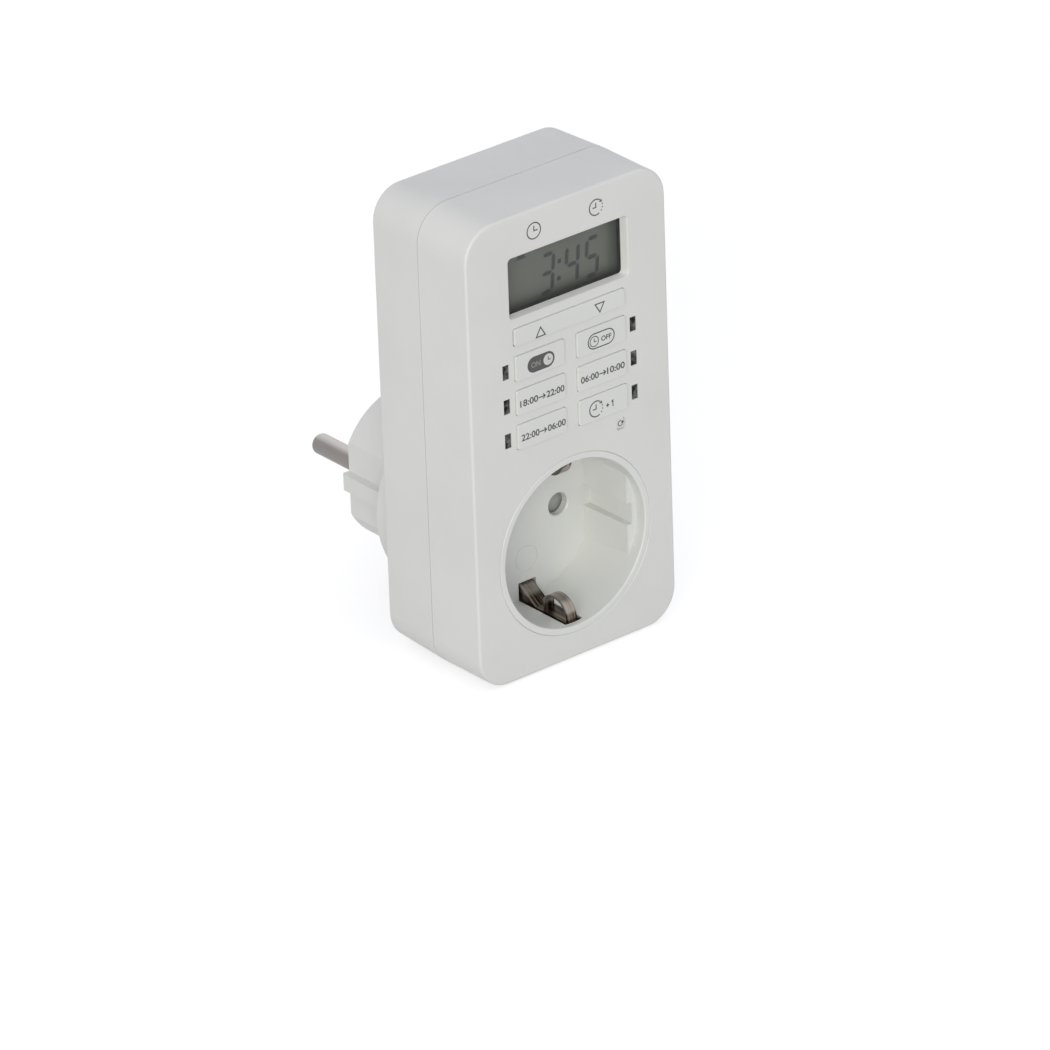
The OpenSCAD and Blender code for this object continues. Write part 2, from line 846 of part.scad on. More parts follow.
module line_contact() color(BRASS) upright() {
    contact_sleeve(-pin_x);
    difference() {
        board_bar(-pin_x, 2);
        rod(-pin_x, 0, sleeve_bore, bar_z - 1, bar_z + 2);
    }
}

module neutral_contact() color(BRASS) upright() {
    contact_sleeve(pin_x);
    difference() {
        board_bar(pin_x, 2);
        rod(pin_x, 0, sleeve_bore, bar_z - 1, bar_z + 2);
    }
    riveted_foot(1, sleeve_z + strip_t);
    span_box([pin_x + 2, tail_x], [-2, 2], [sleeve_z, sleeve_z + strip_t]);
}

module line_feed_bar() color(BRASS) upright() {
    riveted_foot(-1, bar_z);
    span_box([-tail_x - 3, -tail_x], [-2, bar_y + strip_t], [bar_z, bar_z + strip_t]);
    span_box([-tail_x - 3, -tail_x], [bar_y, bar_y + strip_t],
             [bar_z + strip_t, power_top + 0.6]);
}

// ---- plug pins ----

module plug_pin(x) {
    translate([x, 0, 0])
        rotate_extrude() {
            difference() {
                translate([0, -pin_len]) square([pin_r, pin_len]);
                translate([pin_r - pin_tip, -pin_len + pin_tip])
                    difference() {
                        translate([0, -pin_tip - 1]) square(pin_tip + 1);
                        circle(r = pin_tip);
                    }
            }
            square([pin_neck_r, end_wall]);
            translate([0, end_wall]) square([collar_r, collar_t]);
            translate([0, end_wall + collar_t]) square([rivet_r, plate_t + strip_t]);
            translate([0, foot_z + strip_t]) square([rivet_head_r, rivet_head_t]);
        }
}

module line_pin() color(METAL) upright() {
    plug_pin(-pin_x);
}

module neutral_pin() color(METAL) upright() {
    plug_pin(pin_x);
}

module pin_plate() color(DARK) upright() {
    difference() {
        intersection() {
            rod(0, 0, plug_cell_r - 0.3, end_wall + collar_t, foot_z);
            span_box([-plug_flats / 2 + cell_wall + 0.3, plug_flats / 2 - cell_wall - 0.3],
                     [-plug_cell_y + 0.3, plug_cell_y - 0.3], [0, plug_len]);
        }
        both_sides() rod(pin_x, 0, rivet_r + 0.05, 0, plug_len);
    }
}

// ---- display ----

module display_lens() color([0.75, 0.80, 0.80, 0.35]) upright() {
    translate([view_x, view_y, 0])
        rounded_plate(view_w + 2.4, view_h + 2, 1, inner_z - lens_t, inner_z);
}

module display_frame() color(DARK) upright() {
    outer_w = glass_w + 2 * bezel_gap + 2 * bezel_wall;
    outer_h = glass_h + 2 * bezel_gap + 2 * bezel_wall;
    translate([view_x, view_y, 0])
        difference() {
            rounded_plate(outer_w, outer_h, 0.8, board_z, inner_z - lens_t);
            rounded_plate(view_w, view_h, window_r, board_z - 1, inner_z);
            rounded_plate(glass_w + 2 * bezel_gap, glass_h + 2 * bezel_gap, 0.5,
                          board_z - 1, glass_front);
        }
}

module lcd_panel() color([0.45, 0.48, 0.44]) upright() {
    translate([view_x, view_y, 0]) {
        rounded_plate(glass_w, glass_h, 0.4, glass_front - glass_t / 2, glass_front);
        translate([0, 0.4, 0])
            rounded_plate(glass_w, glass_h - 0.8, 0.4, glass_front - glass_t,
                          glass_front - glass_t / 2);
    }
}

module zebra_strip() color(DARK) upright() {
    span_box([view_x - glass_w / 2 + 1, view_x + glass_w / 2 - 1],
             [view_y - glass_h / 2 + 1, view_y - glass_h / 2 + 1 + zebra_w],
             [board_z, glass_front - glass_t]);
}

// ---- keys ----

// Key cap: filleted face in its opening, retaining flange behind the wall, stem on the switch
module key_cap(x, y, w, h, top, flange, gap) {
    flange_z = inner_z - gap - flange_t;
    translate([x, y, 0]) {
        rounded_run(w, h, key_r, flange_z + flange_t, top)
            drafted_profile(key_r, flange_z + flange_t, top, 0, key_edge_r);
        rounded_plate(w + 2 * flange, h + 2 * flange, key_r, flange_z, flange_z + flange_t);
    }
}

module named_key(i) color(KEY) upright() {
    x = KEYS[i][1];
    y = KEYS[i][2];
    key_cap(x, y, key_w, key_h, face_z + key_proud, key_flange, flange_gap);
    rod(x, y, stem_r, plunger_top, inner_z - flange_gap - flange_t);
}

module reset_key() color(KEY) upright() {
    key_cap(reset_x, reset_y, reset_w, reset_h, face_z - reset_sink, 0.6, flange_gap);
    rod(reset_x, reset_y, 1.5, plunger_top, inner_z - flange_gap - flange_t);
}

// One long key that rocks on a rounded blade under its middle
module up_down_key() color(KEY) upright() {
    flange_z = inner_z - rocker_flange_gap - flange_t;
    key_cap(0, rocker_y, rocker_w, rocker_h, face_z + key_proud, rocker_flange,
            rocker_flange_gap);
    both_sides() rod(rocker_x, rocker_y, stem_r - 0.3, plunger_top, flange_z);
    span_box([-fulcrum_r, fulcrum_r], [rocker_y - fulcrum_len / 2, rocker_y + fulcrum_len / 2],
             [fulcrum_z, flange_z]);
    translate([0, rocker_y + fulcrum_len / 2, fulcrum_z])
        rotate([90, 0, 0])
            intersection() {
                cylinder(r = fulcrum_r, h = fulcrum_len);
                translate([-2, -2, -1]) cube([4, 2, fulcrum_len + 2]);
            }
}

// Block on the control board with the groove in which the rocker's blade turns
module rocker_fulcrum() color(DARK) upright() {
    difference() {
        span_box([-1.8, 1.8], [rocker_y - fulcrum_len / 2, rocker_y + fulcrum_len / 2],
                 [board_z, fulcrum_z + 0.1]);
        translate([0, rocker_y + fulcrum_len / 2 + 1, fulcrum_z])
            rotate([90, 0, 0]) cylinder(r = fulcrum_r + 0.08, h = fulcrum_len + 2);
    }
}

module plunger(x, y) {
    rod(x, y, plunger_r, plunger_z, plunger_top);
}

module named_plunger(i) color(DARK) upright() {
    plunger(KEYS[i][1], KEYS[i][2]);
}

module reset_plunger() color(DARK) upright() {
    plunger(reset_x, reset_y);
}

module up_down_plungers() color(DARK) upright() {
    both_sides() plunger(rocker_x, rocker_y);
}

// Nine push switches on the control board
module switch_bodies() color([0.25, 0.25, 0.27]) upright() {
    for (s = SWITCHES)
        difference() {
            span_box([s[0] - switch_w / 2, s[0] + switch_w / 2],
                     [s[1] - switch_w / 2, s[1] + switch_w / 2], [board_z, board_z + switch_h]);
            rod(s[0], s[1], plunger_r + 0.3, board_z + 0.4, board_z + switch_h + 1);
        }
}

// Clear bar that carries a status light from the board to its slot in the face
module light_guide(i) color([0.85, 0.88, 0.88, 0.5]) upright() {
    x = GUIDES[i][0];
    y = GUIDES[i][1];
    w = slot_w / 2 - guide_gap;
    h = slot_h / 2 - guide_gap;
    span_box([x - w, x + w], [y - h, y + h], [board_z + led_t + 0.2, face_z - guide_sink]);
    span_box([x - w - guide_flange, x + w + guide_flange], [y - h - guide_flange, y + h + guide_flange],
             [inner_z - 1, inner_z]);
}

module status_leds() color([0.9, 0.9, 0.8]) upright() {
    for (g = GUIDES)
        span_box([g[0] - 0.8, g[0] + 0.8], [g[1] - 1.2, g[1] + 1.2], [board_z, board_z + led_t]);
}

// ---- boards and what stands on them ----

module control_board() color(BOARD) upright() {
    difference() {
        span_box([-board_w / 2, board_w / 2], [board_foot, board_top], [board_z - board_t, board_z]);
        rod(0, 0, pot_flange_r + 0.4, board_z - 3, board_z + 1);
        both_sides() {
            rod(screw_x, screw_ys[1], front_boss_r + 0.4, board_z - 3, board_z + 1);
            for (y = post_ys) rod(post_x, y, board_screw_r + 0.2, board_z - 3, board_z + 1);
        }
    }
}

module power_board() color(BOARD) upright() {
    difference() {
        span_box([-power_w / 2, power_w / 2], [power_y0, power_y1], [power_z, power_top]);
        both_sides()
            for (y = power_post_ys)
                rod(power_post_x, y, board_screw_r + 0.2, power_z - 1, power_top + 1);
        for (xs = [[-tail_x - 3, -tail_x], [-pin_x - bar_w / 2, -pin_x + bar_w / 2],
                   [pin_x - bar_w / 2, pin_x + bar_w / 2]])
            span_box([xs[0] - 0.1, xs[1] + 0.1], [bar_y - 0.1, bar_y + strip_t + 0.1],
                     [power_z - 1, power_top + 1]);
    }
}

// Pin strip that joins the two boards
module board_header() color(DARK) upright() {
    span_box([-header_w / 2, header_w / 2], [header_y, header_y + header_t],
             [power_top, board_z - board_t]);
}

// Screws that hold both boards to their posts
module board_screws() color(METAL) upright() {
    both_sides() {
        for (y = post_ys) {
            rod(post_x, y, board_screw_r, board_z - board_t, board_z + 4);
            rod(post_x, y, board_head_r, board_z - board_t - board_head_t, board_z - board_t);
        }
        for (y = power_post_ys) {
            rod(power_post_x, y, board_screw_r, power_z - 2, power_top);
            rod(power_post_x, y, board_head_r, power_top, power_top + board_head_t);
        }
    }
}

module microcontroller() color(DARK) upright() {
    span_box([chip_x, chip_x + chip_w], [chip_y, chip_y + chip_w],
             [board_z - board_t - chip_t, board_z - board_t]);
}

module crystal() color(METAL) upright() {
    translate([crystal_x, crystal_y, board_z - board_t - crystal_r])
        rotate([0, 90, 0]) cylinder(r = crystal_r, h = crystal_len);
}

module relay() color([0.20, 0.22, 0.25]) upright() {
    translate([relay_x, (relay_foot + relay_end) / 2, 0])
        rounded_plate(relay_w, relay_end - relay_foot, case_r, power_top, power_top + relay_t);
}

module dropper_capacitor() color([0.75, 0.60, 0.15]) upright() {
    translate([dropper_x, (dropper_foot + dropper_end) / 2, 0])
        rounded_plate(dropper_w, dropper_end - dropper_foot, case_r, power_top,
                      power_top + dropper_t);
}

module smoothing_capacitor() color([0.15, 0.20, 0.35]) upright() {
    rod(can_x, can_y, can_r, power_top, power_top + can_len);
}

module varistor() color([0.10, 0.25, 0.55]) upright() {
    translate([varistor_x, varistor_y + varistor_t / 2, power_top + varistor_r + 0.8])
        rotate([90, 0, 0]) cylinder(r = varistor_r, h = varistor_t);
    for (m = [-1, 1])
        rod(varistor_x + m * varistor_lead, varistor_y, lead_r, power_top, power_top + 2);
}

module bridge_rectifier() color(DARK) upright() {
    span_box([bridge_x, bridge_x + bridge_w], [bridge_y, bridge_y + bridge_t],
             [power_top, power_top + bridge_h]);
}

module fusible_resistor() color([0.30, 0.45, 0.35]) upright() {
    translate([fuse_x, fuse_y, power_top + fuse_r])
        rotate([0, 90, 0]) cylinder(r = fuse_r, h = fuse_len);
}

module backup_cell() color(METAL) upright() {
    rod(cell_x, cell_y, cell_r, power_top, power_top + cell_t);
}

// ---- every node by its name ----

front_housing();
rear_housing();
housing_screws();
socket_pot();
shutter();
shutter_spring();
contact_carrier();
earth_contact();
line_contact();
neutral_contact();
line_feed_bar();
line_pin();
neutral_pin();
pin_plate();
display_lens();
display_frame();
lcd_panel();
zebra_strip();
up_down_key();
up_down_plungers();
rocker_fulcrum();
reset_key();
reset_plunger();
for (i = [0:len(KEYS) - 1]) {
    named_key(i);
    named_plunger(i);
}
for (i = [0:5])
    light_guide(i);
switch_bodies();
status_leds();
control_board();
power_board();
board_header();
board_screws();
microcontroller();
crystal();
relay();
dropper_capacitor();
smoothing_capacitor();
varistor();
bridge_rectifier();
fusible_resistor();
backup_cell();
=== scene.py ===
"""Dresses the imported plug-in timer switch: materials, printed marks, display, light and camera.

Marks are laid out in the face frame, in millimetres: x to the right, y up the face and z out
of it, counted from the plug's end face. at() turns that frame to the part's own, in metres.
"""

import json
import math

import bpy
from mathutils import Matrix, Vector


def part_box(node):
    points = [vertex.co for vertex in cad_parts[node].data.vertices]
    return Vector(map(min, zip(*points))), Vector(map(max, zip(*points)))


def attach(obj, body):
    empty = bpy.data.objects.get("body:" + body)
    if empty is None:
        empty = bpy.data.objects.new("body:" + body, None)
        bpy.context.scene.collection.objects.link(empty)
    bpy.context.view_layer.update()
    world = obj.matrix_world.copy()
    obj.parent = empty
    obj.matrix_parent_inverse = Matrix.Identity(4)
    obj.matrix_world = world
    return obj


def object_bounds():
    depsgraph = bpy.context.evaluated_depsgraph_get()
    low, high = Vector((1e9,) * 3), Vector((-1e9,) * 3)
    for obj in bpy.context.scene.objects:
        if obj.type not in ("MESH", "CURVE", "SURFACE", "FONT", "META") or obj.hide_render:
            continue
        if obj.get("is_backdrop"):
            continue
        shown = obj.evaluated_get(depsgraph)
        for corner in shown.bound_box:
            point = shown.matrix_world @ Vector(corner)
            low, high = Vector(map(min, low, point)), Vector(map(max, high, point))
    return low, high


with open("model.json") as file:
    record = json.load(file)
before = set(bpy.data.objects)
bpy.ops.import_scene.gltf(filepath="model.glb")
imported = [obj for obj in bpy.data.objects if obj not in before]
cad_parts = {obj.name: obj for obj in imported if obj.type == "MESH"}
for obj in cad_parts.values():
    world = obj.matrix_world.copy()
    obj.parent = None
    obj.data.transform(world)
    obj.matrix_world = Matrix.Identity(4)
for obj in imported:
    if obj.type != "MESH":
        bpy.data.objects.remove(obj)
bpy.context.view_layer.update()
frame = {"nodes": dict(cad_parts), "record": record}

# Planes of the face frame, in millimetres: the face, the keys, the reset key and the display glass.
FACE_Z = 58.8
KEY_Z = 59.3
RESET_Z = 58.3
GLASS_Z = 54.3

# Thickness of a print, of a print on a print and of a display segment, in millimetres.
PRINT_T = 0.025
OVERLAY_T = 0.012
SEGMENT_T = 0.01

# Heights up the face were measured from a point this many millimetres above the plug's axis.
LIFT = 0.3

# In metres: how far from the plug's axis the earth clips' channel begins, and the pins' radius.
CHANNEL_R = 0.0178
PIN_R = 0.0024


def at(x, y, z):
    """A point of the face frame, in millimetres, as a point of the part's frame, in metres."""
    return Vector((x, -z, y + LIFT)) / 1000


# ---------------------------------------------------------------- materials


def srgb(r, g, b):
    """An 8-bit display colour as linear values with alpha."""

    def lin(v):
        v /= 255
        return v / 12.92 if v <= 0.04045 else ((v + 0.055) / 1.055) ** 2.4

    return (lin(r), lin(g), lin(b), 1.0)


def shade(color, share):
    """A linear colour made darker, or lighter up to white."""
    return tuple(min(1, c * share) for c in color[:3]) + (1,)


def grey(value):
    return (value, value, value, 1)


class Nodes:
    """Builds one node material, link by link."""

    def __init__(self, name):
        self.mat = bpy.data.materials.new(name)
        self.mat.use_nodes = True
        self.tree = self.mat.node_tree
        self.bsdf = self.tree.nodes["Principled BSDF"]

    def add(self, kind, **sockets):
        """A new node with some inputs set; an underscore stands for a space in an input's name."""
        node = self.tree.nodes.new(kind)
        for key, value in sockets.items():
            node.inputs[key.replace("_", " ")].default_value = value
        return node

    def link(self, a, b):
        self.tree.links.new(a, b)

    def set(self, name, value):
        """Gives the shader's own socket a number or a colour, or the output that drives it."""
        if isinstance(value, bpy.types.NodeSocket):
            self.link(value, self.bsdf.inputs[name])
        else:
            self.bsdf.inputs[name].default_value = value

    def position(self, scale=(1, 1, 1)):
        """Object coordinates in metres, stretched by scale."""
        coords = self.add("ShaderNodeTexCoord")
        mapping = self.add("ShaderNodeMapping", Scale=scale)
        self.link(coords.outputs["Object"], mapping.inputs["Vector"])
        return mapping.outputs["Vector"]

    def split(self, vector):
        """The x, y and z of a vector."""
        node = self.add("ShaderNodeSeparateXYZ")
        self.link(vector, node.inputs[0])
        return node.outputs

    def noise(self, vector, scale, detail=2.0, roughness=0.5):
        node = self.add("ShaderNodeTexNoise", Scale=scale, Detail=detail, Roughness=roughness)
        self.link(vector, node.inputs["Vector"])
        return node.outputs["Fac"]

    def ramp(self, fac, first, last, *between):
        """A colour ramp; each stop is its place and its colour."""
        node = self.add("ShaderNodeValToRGB")
        stops = node.color_ramp.elements
        for stop, (place, color) in zip(stops, (first, last), strict=True):
            stop.position = place
            stop.color = color
        for place, color in between:
            stops.new(place).color = color
        self.link(fac, node.inputs["Fac"])
        return node.outputs["Color"]

    def remap(self, value, low, high, start, end, ease=False):
        """Maps low to high onto start to end, eased at both ends where asked."""
        node = self.add("ShaderNodeMapRange", From_Min=low, From_Max=high, To_Min=start, To_Max=end)
        if ease:
            node.interpolation_type = "SMOOTHSTEP"
        self.link(value, node.inputs["Value"])
        return node.outputs["Result"]

    def spread(self, noise, low, high):
        """Maps the 0.3 to 0.7 of a noise onto low to high."""
        return self.remap(noise, 0.3, 0.7, low, high)

    def mix(self, share, first, second, blend="MIX"):
        """Blends two colours; share is a number or a socket."""
        node = self.add("ShaderNodeMix")
        node.data_type = "RGBA"
        node.blend_type = blend
        if isinstance(share, float):
            node.inputs["Factor"].default_value = share
        else:
            self.link(share, node.inputs["Factor"])
        # Inputs 6 and 7 and output 2 are the node's colour sockets.
        self.link(first, node.inputs[6])
        self.link(second, node.inputs[7])
        return node.outputs[2]

    def times(self, first, second):
        """Two colours multiplied."""
        return self.mix(1.0, first, second, "MULTIPLY")

    def bump(self, height, distance, strength=1.0):
        node = self.add("ShaderNodeBump", Strength=strength, Distance=distance)
        self.link(height, node.inputs["Height"])
        self.set("Normal", node.outputs["Normal"])


def plastic(name, color, rough=0.45, grain=0.00001, mottle=0.02):
    """Moulded plastic: a fine spark-eroded grain, uneven gloss and a trace of colour drift."""
    m = Nodes(name)
    pos = m.position()
    drift = m.noise(pos, 45, 3)
    m.set("Base Color", m.ramp(drift, (0.35, shade(color, 1 - mottle)), (0.65, shade(color, 1 + mottle))))
    m.set("Roughness", m.spread(m.noise(pos, 320, 3), rough - 0.04, rough + 0.05))
    m.bump(m.noise(pos, 2600, 2), grain)
    m.set("IOR", 1.5)
    return m.mat


def metal(name, color, rough=0.3, stretch=(1, 1, 1)):
    """Drawn or stamped metal: streaks along one direction and faint stains."""
    m = Nodes(name)
    m.set("Metallic", 1.0)
    streaks = m.noise(m.position(stretch), 900, 4, 0.6)
    m.set("Base Color", m.ramp(streaks, (0.3, shade(color, 0.86)), (0.7, color)))
    m.set("Roughness", m.spread(streaks, rough - 0.06, rough + 0.06))
    m.bump(streaks, 0.000012)
    return m.mat


def clip(name):
    """Brown-grey drawn strip, streaked along its length, with painted shade where it lies in its channel.
    """
    m = Nodes(name)
    m.set("Metallic", 1.0)
    streaks = m.noise(m.position((1, 0.03, 0.03)), 1500, 3, 0.6)
    bright = m.ramp(streaks, (0.34, srgb(134, 126, 119)), (0.62, srgb(166, 159, 152)))
    # Painted shade: this dark colour takes over past CHANNEL_R from the plug's axis, where the strip lies
    # in its channel.
    dark = m.ramp(streaks, (0.44, srgb(42, 34, 29)), (0.64, srgb(140, 127, 114)))
    reach = m.add("ShaderNodeVectorMath")
    reach.operation = "LENGTH"
    m.link(m.position((1, 0, 1)), reach.inputs[0])
    far = m.remap(reach.outputs["Value"], CHANNEL_R - 0.0006, CHANNEL_R + 0.0004, 0.0, 1.0, ease=True)
    m.set("Base Color", m.mix(far, bright, dark))
    m.set("Roughness", m.spread(streaks, 0.24, 0.36))
    m.bump(streaks, 0.00002)
    return m.mat


def pin(name):
    """Drawn nickel with a painted highlight: dull down its flanks, and painted bright along the top."""
    m = Nodes(name)
    m.set("Metallic", 0.8)
    # Painted highlight: the pin's colour turns lighter towards its top, where light falls on it.
    painted_highlight = m.ramp(
        m.remap(m.split(m.position())["Z"], -PIN_R, PIN_R, 0.0, 1.0),
        (0.86, srgb(148, 143, 139)),
        (1.0, srgb(210, 206, 202)),
    )
    streaks = m.noise(m.position((1, 0.1, 1)), 1200, 4, 0.6)
    m.set("Base Color", m.times(painted_highlight, m.ramp(streaks, (0.3, grey(0.88)), (0.7, grey(1)))))
    m.set("Roughness", m.spread(streaks, 0.36, 0.48))
    m.bump(streaks, 0.000012)
    return m.mat


def board(name):
    """Solder mask with the faint relief of its tracks."""
    m = Nodes(name)
    pos = m.position((1, 0.02, 1))
    tracks = m.add("ShaderNodeTexVoronoi", Scale=260)
    tracks.feature = "DISTANCE_TO_EDGE"
    m.link(pos, tracks.inputs["Vector"])
    over_track, between = (0.03, 0.20, 0.10, 1), (0.015, 0.12, 0.06, 1)
    m.set("Base Color", m.ramp(tracks.outputs["Distance"], (0.08, over_track), (0.14, between)))
    m.set("Roughness", 0.32)
    m.bump(tracks.outputs["Distance"], 0.00003, 0.4)
    return m.mat


def lens(name):
    """Clear window: mostly see-through, with a thin glossy veil."""
    m = Nodes(name)
    veil = m.noise(m.position(), 60, 2)
    m.set("Base Color", m.ramp(veil, (0.3, (0.36, 0.37, 0.35, 1)), (0.7, (0.40, 0.41, 0.39, 1))))
    m.set("Roughness", 0.06)
    m.set("IOR", 1.49)
    m.set("Alpha", 0.06)
    m.mat.blend_method = "BLEND"
    return m.mat


def crystal_glass(name):
    """Grey-green display glass over a grained reflector, with its frame's shade painted in below and at
    the right.
    """
    m = Nodes(name)
    pos = m.position()
    grain = m.ramp(m.noise(pos, 30, 2), (0.3, srgb(91, 94, 84)), (0.7, srgb(96, 99, 89)))
    part = m.split(pos)
    # Painted shade: the glass darkens towards its lower edge and its right side, where the frame shades
    # it.
    foot = m.remap(part["Z"], 0.0568, 0.0614, 0.06, 1.0, ease=True)
    side = m.ramp(
        m.remap(part["X"], 0.0146, 0.0185, 0.0, 1.0),
        (0.0, grey(1)),
        (1.0, grey(0.26)),
        (0.65, grey(0.76)),
    )
    m.set("Base Color", m.times(m.times(grain, foot), side))
    m.set("Roughness", m.spread(m.noise(pos, 500, 2), 0.30, 0.40))
    m.bump(m.noise(pos, 3500, 2), 0.000004)
    return m.mat


def smoke(name):
    """Smoke-dark clear plastic with a painted, cloudy glimmer of the lamp behind it."""
    m = Nodes(name)
    # Painted light: the cloudy glimmer of the lamp behind the guide is painted into its colour.
    painted_glimmer = m.noise(m.position(), 760, 1)
    m.set("Base Color", m.ramp(painted_glimmer, (0.40, srgb(8, 9, 8)), (0.72, srgb(112, 116, 110))))
    m.set("Roughness", 0.1)
    m.set("Specular IOR Level", 0.1)
    return m.mat


WHITE = srgb(225, 225, 220)
FINISHES = {
    "shell_white": plastic("shell_white", WHITE, 0.42),
    "socket_white": plastic("socket_white", srgb(226, 227, 222), 0.34, grain=0.000003),
    "key_white": plastic("key_white", srgb(225, 226, 221), 0.45),
    "shutter_grey": plastic("shutter_grey", srgb(168, 170, 164), 0.5),
    "carrier_black": plastic("carrier_black", srgb(34, 34, 36), 0.55),
    "frame_black": plastic("frame_black", srgb(12, 12, 12), 0.5),
    "switch_black": plastic("switch_black", srgb(30, 30, 32), 0.5),
    "chip_black": plastic("chip_black", srgb(26, 26, 28), 0.6),
    "relay_case": plastic("relay_case", srgb(42, 46, 54), 0.3),
    "screw_steel": metal("screw_steel", srgb(178, 178, 182), 0.32),
    "spring_steel": metal("spring_steel", srgb(160, 160, 165), 0.28, (1, 8, 1)),
    "can_steel": metal("can_steel", srgb(190, 190, 194), 0.25),
    "clip_metal": clip("clip_metal"),
    "pin_nickel": pin("pin_nickel"),
    "contact_brass": metal("contact_brass", srgb(206, 172, 100), 0.3, (1, 0.2, 1)),
    "lens_clear": lens("lens_clear"),
    "lcd_glass": crystal_glass("lcd_glass"),
    "zebra_rubber": plastic("zebra_rubber", srgb(44, 44, 44), 0.7),
    "guide_smoke": smoke("guide_smoke"),
    "led_lens": plastic("led_lens", srgb(226, 222, 196), 0.2),
    "board_green": board("board_green"),
    "capacitor_yellow": plastic("capacitor_yellow", srgb(206, 168, 60), 0.35),
    "capacitor_blue": plastic("capacitor_blue", srgb(46, 56, 104), 0.3),
    "varistor_blue": plastic("varistor_blue", srgb(40, 88, 160), 0.35),
    "resistor_green": plastic("resistor_green", srgb(92, 134, 108), 0.55),
}
INK = plastic("print_ink", srgb(84, 84, 82), 0.6, mottle=0.04)
INK_PALE = plastic("print_pale", srgb(214, 214, 210), 0.55)
INK_SOFT = plastic("print_soft", srgb(146, 146, 142), 0.55)
SEGMENT = plastic("display_segment", srgb(30, 33, 33), 0.4)

for sub in frame["record"]["subparts"]:
    obj = frame["nodes"][sub["node"]]
    obj.data.materials.clear()
    obj.data.materials.append(FINISHES[sub["material_slot"]])

# The walls that lead down from the face to the window lie in front of its lens; a lighter copy of the
# shell's white paints light onto them.
shell = frame["nodes"]["front_housing"].data
shell.materials.append(plastic("painted_light_white", srgb(252, 252, 246), 0.5, grain=0.0))
lens_low, lens_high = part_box("display_lens")
for face in shell.polygons:
    middle = face.center
    inside = lens_low[0] < middle.x < lens_high[0] and lens_low[2] < middle.z < lens_high[2]
    if inside and middle.y < lens_low[1] and abs(face.normal.y) < 0.5:
        face.material_index = 1


# ---------------------------------------------------------------- printed marks


def circle_points(cx, cy, r, start=0.0, stop=360.0, n=48):
    """Points along an arc, angles in degrees, anticlockwise from +x."""
    return [
        (
            cx + r * math.cos(math.radians(start + (stop - start) * i / n)),
            cy + r * math.sin(math.radians(start + (stop - start) * i / n)),
        )
        for i in range(n + 1)
    ]


def band(points, width):
    """Quads along a line of points, mitred at the corners; closed where the ends meet."""
    pts = [Vector(p) for p in points]
    closed = (pts[0] - pts[-1]).length < 1e-6
    if closed:
        pts = pts[:-1]
    n = len(pts)
    left, right = [], []
    for i, p in enumerate(pts):
        before = pts[i - 1] if closed or i > 0 else None
        after = pts[(i + 1) % n] if closed or i < n - 1 else None
        near = [v for v in (before, p, after) if v is not None]
        dirs = [(b - a).normalized() for a, b in zip(near, near[1:], strict=False)]
        d = (dirs[0] + dirs[-1]).normalized()
        side = Vector((-d.y, d.x))
        reach = width / 2 / max(0.4, side.dot(Vector((-dirs[0].y, dirs[0].x))))
        left.append(p + side * reach)
        right.append(p - side * reach)
    last = n if closed else n - 1
    return [[right[i], right[(i + 1) % n], left[(i + 1) % n], left[i]] for i in range(last)]


def ring(cx, cy, r, width, start=0.0, stop=360.0, n=48):
    points = circle_points(cx, cy, r, start, stop, n)
    if stop - start >= 360:
        points[-1] = points[0]
    return band(points, width)


def disc(cx, cy, r, n=48):
    return [circle_points(cx, cy, r, n=n)[:-1]]


def stadium(cx, cy, w, h, n=20):
    """Outline of a pill of width w and height h."""
    r = h / 2
    d = w / 2 - r
    return circle_points(cx + d, cy, r, -90, 90, n) + circle_points(cx - d, cy, r, 90, 270, n)


def lettering(text, cx, baseline, height, width, weight=0.018):
    """Flat outlines of plain characters, fitted to a height and width, as lists of points."""
    curve = bpy.data.curves.new("lettering", "FONT")
    curve.body = text
    curve.resolution_u = 6
    curve.offset = weight
    obj = bpy.data.objects.new("lettering", curve)
    bpy.context.scene.collection.objects.link(obj)
    bpy.context.view_layer.update()
    mesh = bpy.data.meshes.new_from_object(obj.evaluated_get(bpy.context.evaluated_depsgraph_get()))
    bpy.data.objects.remove(obj)
    xs = [v.co.x for v in mesh.vertices]
    ys = [v.co.y for v in mesh.vertices]
    sx = width / (max(xs) - min(xs))
    sy = height / (max(ys) - min(ys))
    mid = (max(xs) + min(xs)) / 2
    loops = [
        [
            (cx + (mesh.vertices[i].co.x - mid) * sx, baseline + (mesh.vertices[i].co.y - min(ys)) * sy)
            for i in f.vertices
        ]
        for f in mesh.polygons
    ]
    bpy.data.meshes.remove(mesh)
    return loops


def print_mark(name, polygons, z, body, material, thickness=PRINT_T):
    """Raises flat polygons of the face frame a print's thickness above the plane z."""
    verts, faces = [], []
    for poly in polygons:
        flat = [Vector((p[0], p[1])) for p in poly]
        area = sum(
            a.x * b.y - b.x * a.y for a, b in zip(flat, flat[1:] + flat[:1], strict=True)
        )
        if area < 0:
            flat.reverse()
        n = len(flat)
        low = range(len(verts), len(verts) + n)
        top = range(low.stop, low.stop + n)
        verts += [at(p.x, p.y, z) for p in flat] + [at(p.x, p.y, z + thickness) for p in flat]
        faces += [list(top), list(reversed(low))]
        faces += [[low[i], low[(i + 1) % n], top[(i + 1) % n], top[i]] for i in range(n)]
    mesh = bpy.data.meshes.new(name)
    mesh.from_pydata(verts, [], faces)
    mesh.validate()
    mesh.update()
    mesh.materials.append(material)
    obj = bpy.data.objects.new(name, mesh)
    bpy.context.scene.collection.objects.link(obj)
    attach(obj, body)
    return obj


# Width of a drawn line and of a thin one, in millimetres.
LINE = 0.27
THIN_LINE = 0.2


def clock(cx, cy, r, side, line=LINE):
    """A clock face's hands: one up, one to the side given as 1 or -1."""
    return band([(cx, cy + 0.58 * r), (cx, cy - 0.02), (cx + side * 0.5 * r, cy - 0.02)], line)


